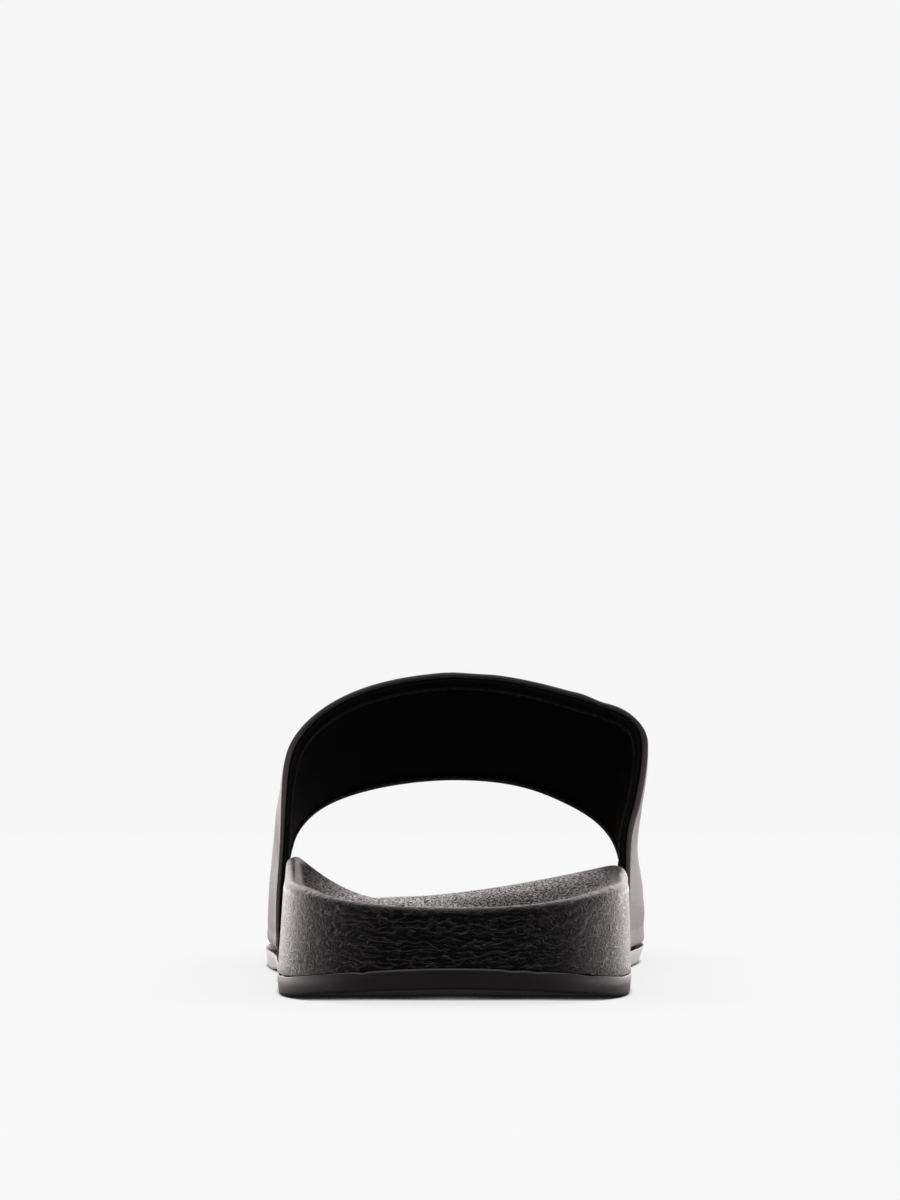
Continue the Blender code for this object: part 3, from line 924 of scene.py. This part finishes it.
def turnedFoot(foot, side):  # from the lap's end under the sole to the wall
    radius = band["turnRadius"]
    inward = list(radius + band["lap"] * np.linspace(1, 0, band["lapSteps"]))
    drop = [radius] * band["lapSteps"]
    for angle in turnAngles():
        inward.append(radius * (1 - math.cos(angle)))
        drop.append(radius * math.sin(angle))
    return [foot - np.array([side * i, 0, d]) for i, d in zip(inward, drop)]


def bandSection(along):
    wall = bandFace(np.linspace(0, 1, band["stepsAcross"] + 1), along)
    for end in (0, -1):
        wall[end, 2] = seamHeight(wall[end, 1]) + band["turnRadius"]
    return np.array(turnedFoot(wall[0], -1) + list(wall) + turnedFoot(wall[-1], 1)[::-1])


def unit(vectors):
    return vectors / np.linalg.norm(vectors, axis=-1, keepdims=True)


def bandGrid():
    points = np.array([bandSection(share) for share in np.linspace(0, 1, band["stepsAlong"] + 1)])
    along = unit(np.gradient(points, axis=0))
    across = unit(np.gradient(points, axis=1))
    steps = np.linalg.norm(np.diff(points, axis=0), axis=2)
    far = np.concatenate([np.zeros((1, points.shape[1])), np.cumsum(steps, axis=0)])
    steps = np.linalg.norm(np.diff(points, axis=1), axis=2)
    around = np.concatenate([np.zeros((points.shape[0], 1)), np.cumsum(steps, axis=1)], axis=1)
    normal = unit(np.cross(across, along))
    thin = pressed(points, far)
    points = points - normal * (band["wall"] * (1 - thin))[:, :, None]
    return {"points": points, "normal": normal, "along": along, "far": far, "around": around, "thin": thin}


# share of the wall left: height over the seam in mm, lateral side, medial side; the first table holds
# all along the band, the second adds the pressing near its rear and front edges
wallShares = np.array([(0, 0.87, 0.78), (12, 0.87, 0.74), (34, 0.88, 0.74), (56, 1.0, 1.0), (80, 1.0, 1.0)])
pressing = np.array([(0, 0.56, 0.76), (8, 0.70, 0.80), (16, 0.78, 0.95), (30, 0.78, 1.22), (46, 0.95, 1.10),
                     (80, 1.0, 1.0)])
pressingReach = 0.024


def shareAt(table, side, height):
    return curveThrough(table[:, 0], table[:, 1 if side < 0 else 2], np.clip(height, 0, table[-1, 0]))


def pressed(points, far):
    height = (points[:, :, 2] - seamHeight(points[:, :, 1])) * 1000
    nearEdge = 1 - ease(np.minimum(far, far[-1] - far) / pressingReach)
    thin = np.ones(far.shape)
    for side in (-1, 1):
        share = shareAt(wallShares, side, height) * (1 - (1 - shareAt(pressing, side, height)) * nearEdge)
        thin = np.where(points[:, :, 0] * side > 0, share, thin)
    return np.clip(thin, 0.3, 1)


grid = bandGrid()

# creases of the skin, in mm: side whose foot end they are measured from, place across (the
# lap and turn are the first 15), place from the rear edge, half sizes, height (negative is a trough)
creases = [
    # the skin bulges a little above each turn, and a soft fold runs along just over the sole
    (-1, 26, 34, 9, 80, 0.16), (-1, 16.6, 30, 1.8, 60, -0.22), (-1, 19.4, 26, 1.5, 40, 0.06),
    (1, 23, 34, 8, 80, 0.14), (1, 16.8, 34, 1.6, 64, -0.12), (1, 20.5, 58, 4.5, 18, 0.32),
    # soft upright folds beside the rear edge
    (-1, 46, 13, 34, 3.0, 0.14), (-1, 42, 19, 30, 3.5, -0.16), (-1, 40, 27, 26, 5, 0.12),
    (1, 44, 12, 34, 2.6, 0.16), (1, 40, 18, 30, 3.2, -0.20), (1, 42, 25, 28, 4, 0.16),
    # shallow dents on the medial shoulder and beside the crown
    (1, 74, 4, 5, 12, -0.30), (1, 68, 5, 4, 14, 0.22), (1, 84, 4, 4, 9, -0.42), (1, 90, 3, 4, 8, 0.30),
    (1, 118, 3, 6, 9, -0.24), (1, 126, 4, 6, 9, 0.16),
    # long soft folds across the instep
    (-1, 60, 45, 30, 5, -0.18), (-1, 95, 52, 40, 4, -0.16), (1, 64, 50, 25, 5, -0.18),
]
hem = {"width": 0.0085, "height": 0.00026, "step": 0.0012, "swell": 0.00010, "middle": 0.55, "half": 0.35}


def cornerFill():  # squares the turn, most of all half way round it
    fill = np.zeros(grid["points"].shape[1])
    angles = turnAngles()
    places = band["lapSteps"] + np.arange(len(angles))
    for side in (-1, 1):
        power = skin["cornerPower"][side]
        squared = (np.cos(angles) ** power + np.sin(angles) ** power) ** (-1 / power) - 1
        fill[places if side < 0 else len(fill) - 1 - places] = squared
    return fill * band["turnRadius"]


def skinRelief(far, across):
    edge = np.minimum(far, far[-1] - far)
    relief = hem["height"] * (1 - ease((edge - hem["width"]) / hem["step"]))
    relief += hem["swell"] * hump(edge, hem["width"] * hem["middle"], hem["width"] * hem["half"])
    for side, place, back, halfAcross, halfAlong, height in creases:
        fromFoot = across if side < 0 else across[:, -1:] - across
        here = hump(fromFoot, place / 1000, halfAcross / 1000) * hump(far, back / 1000, halfAlong / 1000)
        relief += here * height / 1000
    return relief


def bandPlace(end, reach, depth, columns=None):
    # reach is how far a point lies past the rear (end 0) or front (end 1) edge, below zero it lies inside
    points, normal, along, far, thin = (grid[key] for key in ("points", "normal", "along", "far", "thin"))
    count = points.shape[1]
    columns = np.arange(count, dtype=float) if columns is None else np.asarray(columns, float)
    low = np.clip(columns.astype(int), 0, count - 2)
    share = (columns - low)[:, None]

    def read(table, row):
        after = share if table.ndim == 3 else share[:, 0]
        return table[row, low] * (1 - after) + table[row, low + 1] * after

    edgeRow, sign = (0, -1) if end == 0 else (-1, 1)
    reach = np.broadcast_to(reach, columns.shape)
    depth = np.broadcast_to(depth, columns.shape)
    total = read(far, -1)
    inside = np.clip(-reach, 0, None)
    distance = inside if end == 0 else total - inside
    rowShare = distance / total * (len(points) - 1)
    row = np.clip(rowShare.astype(int), 0, len(points) - 2)
    part = (rowShare - row)[:, None]
    base = read(points, row) * (1 - part) + read(points, row + 1) * part
    facing = read(normal, row) * (1 - part) + read(normal, row + 1) * part
    base = base + read(along, edgeRow) * sign * np.clip(reach, 0, None)[:, None]
    kept = read(thin, row) * (1 - part[:, 0]) + read(thin, row + 1) * part[:, 0]
    return base - unit(facing) * (depth * kept)[:, None]


def stripPiece(name, rows, acrossRow):  # rows of points, laid out flat for the UV map
    rows = np.array(rows)
    steps = np.linalg.norm(np.diff(rows, axis=0), axis=2).mean(axis=1)
    down = np.concatenate([[0], np.cumsum(steps)])
    return gridPiece(name, rows, np.stack(np.meshgrid(acrossRow, down), axis=2))


def shellPiece(name, outer, inner, edges, relief=False):
    # a closed sheet between two depths, with its edge profile as pairs of depth and reach
    points, normal, far, around, thin = (grid[key] for key in ("points", "normal", "far", "around", "thin"))
    raised = skinRelief(far, around) + cornerFill() if relief else np.zeros(far.shape)
    face = points + normal * (raised - outer * thin)[:, :, None]
    back = (points - normal * (inner * thin)[:, :, None])[::-1]

    def edgeRows(end, pairs):
        lift = normal[-end] * raised[-end][:, None]
        return [bandPlace(end, reach, depth) + lift * (1 - depth / band["wall"]) for depth, reach in pairs]

    rows = [*face, *edgeRows(1, edges), *back, *edgeRows(0, edges[::-1]), face[0]]
    return stripPiece(name, rows, around[len(around) // 2])


skin = {
    "inner": 0.0016,
    "cornerPower": {-1: 2.4, 1: 5.0},
    "coat": 0.07,
    # the cut edge's section, as in the next two: depth under the face, then reach past the band's edge
    "edge": [(0.00004, 0.00035), (0.0002, 0.00072), (0.00050, 0.00098), (0.00085, 0.00110),
             (0.0012, 0.00112), (0.00145, 0.00098), (0.00158, 0.00070)],
    "colour": (0.021, 0.019, 0.019),
    "paleColour": (0.038, 0.034, 0.034),
    # painted light on the faces that turn to the front or back
    "edgeLightColour": (0.150, 0.139, 0.137),
    "roughness": 0.36,
    "grain": 1500,  # sizes of the patterns, in repeats a metre
    "coarse": 620,
    "fine": 2200,
    "cloud": 26,
}
lining = {
    "outer": 0.0017,
    "edge": [(0.00175, 0.0002), (0.0021, 0.0004), (0.0027, 0.0004), (0.0031, 0.0002)],
    "weave": 0.00075,
    "fuzz": 1700,
    "colour": (0.0004, 0.0003, 0.00025),
    "threadColour": (0.0030, 0.0023, 0.0018),
    # painted light: the lining's paler colour low down
    "paleColour": (0.0150, 0.0105, 0.0080),
    "roughness": 0.92,
}
tape = {
    "profile": [(0.00166, 0.00060), (0.00172, 0.00098), (0.00200, 0.00112), (0.00245, 0.00108),
                (0.00290, 0.00085), (0.00325, 0.00045), (0.00348, 0.0), (0.00358, -0.0007),
                (0.00358, -0.0020), (0.00356, -0.0033), (0.00346, -0.00345), (0.00328, -0.0034),
                (0.00322, -0.0020), (0.00318, -0.0007), (0.00300, 0.0000), (0.00262, 0.00045),
                (0.00210, 0.00060), (0.00180, 0.00055)],
    "ribPitch": 0.00060,
    "crossPitch": 0.0008,
    "fuzz": 1900,
    "colour": (0.0018, 0.0017, 0.0017),
    # painted highlight on the tape's ribs
    "ribHighlightColour": (0.0260, 0.0240, 0.0240),
    "roughness": 0.72,
}
stitch = {
    "length": 0.0019,
    "radius": 0.00017,
    "pitch": 0.0026,
    "start": 0.0185,  # from the foot's end, past the lap and turn
    "reach": -0.0027,
    "depth": 0.00360,
    "fine": 5200,
    "patch": 420,
    "colour": (0.007, 0.0062, 0.0056),
    "lightColour": (0.028, 0.025, 0.023),
}
# cut thread ends near the medial foot: place from its end, reach, turn in degrees, length in stitches
threadEnds = [(0.0300, -0.0020, 62, 1.5), (0.0345, -0.0006, 12, 1.7)]


def skinFinish():
    leather = Finish("coatedLeather")
    grainCells = leather.cells(skin["grain"], leather.warped(500, 0.0008))
    coarse = leather.cells(skin["coarse"], leather.warped(240, 0.0015))
    fine = leather.noise(skin["fine"], 2)
    cloudy = leather.noise(skin["cloud"], 3)
    grain = grainCells.between(0.0, 0.16) * 0.5 + coarse.between(0.0, 0.10) * 0.5
    height = grain * 0.00004 + fine * 0.000015 + cloudy * 0.0003
    light = (1 - grain) * 0.20 + cloudy.between(0.45, 0.8) * 0.35
    # painted light: faces turned to the front or back, mostly the cut edges, are painted lighter, fading
    # towards the crown
    cut = leather.facing()[1].size().between(0.55, 0.90)
    cut = cut * leather.z.between(0.052, 0.070, 1.0, 0.15)  # darker towards the crown
    colour = leather.tint(light, skin["colour"], skin["paleColour"])
    return leather.set(colour=leather.tint(cut * (0.7 + fine * 0.3), colour, skin["edgeLightColour"]),
                       roughness=skin["roughness"] + (1 - grain) * 0.08 + cloudy * 0.14,
                       coat=skin["coat"], coatRoughness=0.26, normal=leather.bump(height))


def liningFinish():
    cloth = Finish("liningCloth")
    u, v, _ = cloth.axes(cloth.node("ShaderNodeTexCoord", output="UV"))
    turns = 2 * math.pi / lining["weave"]
    drift = cloth.noise(300, 2) * 0.5
    over = (u * turns + drift).sine() * 0.5 + 0.5
    along = (v * turns * 0.8 + drift).sine() * 0.5 + 0.5
    weave = over * (1 - along) + along * (1 - over)
    fuzz = cloth.noise(lining["fuzz"], 3, 0.7)
    light = weave * 0.35 + fuzz.between(0.45, 0.8) * 0.35
    # painted light: the lining is painted paler low down, where light reaches into the band
    paintedLight = cloth.z.between(0.022, 0.056, 1.0, 0.0) * (0.6 + weave * 0.4)
    colour = cloth.tint(light, lining["colour"], lining["threadColour"])
    return cloth.set(colour=cloth.tint(paintedLight, colour, lining["paleColour"]),
                     roughness=lining["roughness"] + fuzz * 0.08, gloss=0.02,
                     normal=cloth.bump(weave * 0.00010 + fuzz * 0.00008))


def tapeFinish():
    cloth = Finish("edgeTapeCloth")
    u, v, _ = cloth.axes(cloth.node("ShaderNodeTexCoord", output="UV"))
    ribs = ((u + v * 0.7) * (2 * math.pi / tape["ribPitch"])).sine() * 0.5 + 0.5
    cross = (v * (2 * math.pi / tape["crossPitch"])).sine() * 0.5 + 0.5
    fuzz = cloth.noise(tape["fuzz"], 3, 0.7)
    # painted highlight: the tape's ribs are painted lighter, fully low on the sides and faintly at the
    # crown
    side = cloth.z.between(0.050, 0.068, 1.0, 0.14)
    light = (ribs.between(0.45, 0.95) * 0.55 + fuzz.between(0.45, 0.8) * 0.25) * side
    return cloth.set(colour=cloth.tint(light, tape["colour"], tape["ribHighlightColour"]),
                     roughness=tape["roughness"] + fuzz * 0.12, gloss=0.15,
                     normal=cloth.bump(ribs * 0.00012 + cross * 0.00004 + fuzz * 0.00008))


def threadFinish():
    thread = Finish("sewingThread")
    fine = thread.noise(stitch["fine"], 2, 0.6)
    patchy = thread.noise(stitch["patch"], 2).between(0.35, 0.7)
    return thread.set(colour=thread.tint((fine + patchy) * 0.5, stitch["colour"], stitch["lightColour"]),
                      roughness=0.55 + fine * 0.25, gloss=0.25, normal=thread.bump(fine, 0.00005))


def makeStitch():  # a short thread that dips in at both ends
    deselectAll()
    bpy.ops.mesh.primitive_cylinder_add(vertices=8, radius=stitch["radius"],
                                        depth=stitch["length"] * 0.6, rotation=(0, math.pi / 2, 0))
    piece = newPiece("stitch")
    bpy.ops.object.transform_apply(location=False, rotation=True, scale=False)
    for side in (-1, 1):
        for face in piece.data.polygons:
            face.select = face.normal.x * side > 0.9
        pick(piece)
        setMode("EDIT")
        bpy.ops.mesh.select_mode(type="FACE")
        move = (side * stitch["length"] * 0.2, 0, -stitch["radius"] * 1.5)
        bpy.ops.mesh.extrude_region_move(TRANSFORM_OT_translate={"value": move})
        bpy.ops.transform.resize(value=(1, 0.7, 0.7))
        setMode("OBJECT")
        piece.data.polygons.foreach_set("select", [False] * len(piece.data.polygons))
    return piece


def stitchPlaces(end):
    around = grid["around"][-end]
    places = np.arange(stitch["start"], around[-1] - stitch["start"], stitch["pitch"])
    rows = [(place, stitch["reach"], 0.0, 1.0) for place in places]
    if end == 0:
        rows += [(around[-1] - place, reach, turn, size) for place, reach, turn, size in threadEnds]
    return rows


def placeStitch(piece, end, place, reach, turn, size):
    columns = np.interp([place - 0.0004, place, place + 0.0004], grid["around"][-end],
                        np.arange(grid["points"].shape[1]))
    before, centre, after = bandPlace(end, reach, stitch["depth"], columns)
    deeper = bandPlace(end, reach, stitch["depth"] + 0.001, columns[1:2])[0]
    along = unit(after - before)
    up = unit(deeper - centre)
    across = unit(np.cross(up, along))
    along = np.cross(across, up)
    angle = math.radians(turn)
    facing = along * math.cos(angle) + across * math.sin(angle)
    frameOfStitch = np.column_stack([facing * size, np.cross(up, facing), up])
    copy = copyOf(piece)
    points = np.array([vertex.co[:] for vertex in copy.data.vertices])
    placePoints(copy, points @ frameOfStitch.T + centre + shift)
    return copy


def makeStitches():
    piece = makeStitch()
    material = threadFinish()
    for end, name in ((0, "rearStitches"), (1, "frontStitches")):
        copies = [placeStitch(piece, end, *row) for row in stitchPlaces(end)]
        finished(joinAll(name, copies), material)
    bpy.data.objects.remove(piece)


def makeBand():
    piece = shellPiece("bandSkin", 0.0, skin["inner"], skin["edge"], relief=True)
    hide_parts("upper")
    finished(piece, skinFinish(), 50)
    cloth = shellPiece("bandLining", lining["outer"], band["wall"], lining["edge"])
    finished(cloth, liningFinish(), 50)
    tapeMaterial = tapeFinish()
    for end, name in ((0, "rearTape"), (1, "frontTape")):
        rows = [bandPlace(end, reach, depth) for depth, reach in tape["profile"]]
        piece = stripPiece(name, [*rows, rows[0]], grid["around"][-end])
        finished(piece, tapeMaterial, 60)
    makeStitches()


makeBand()
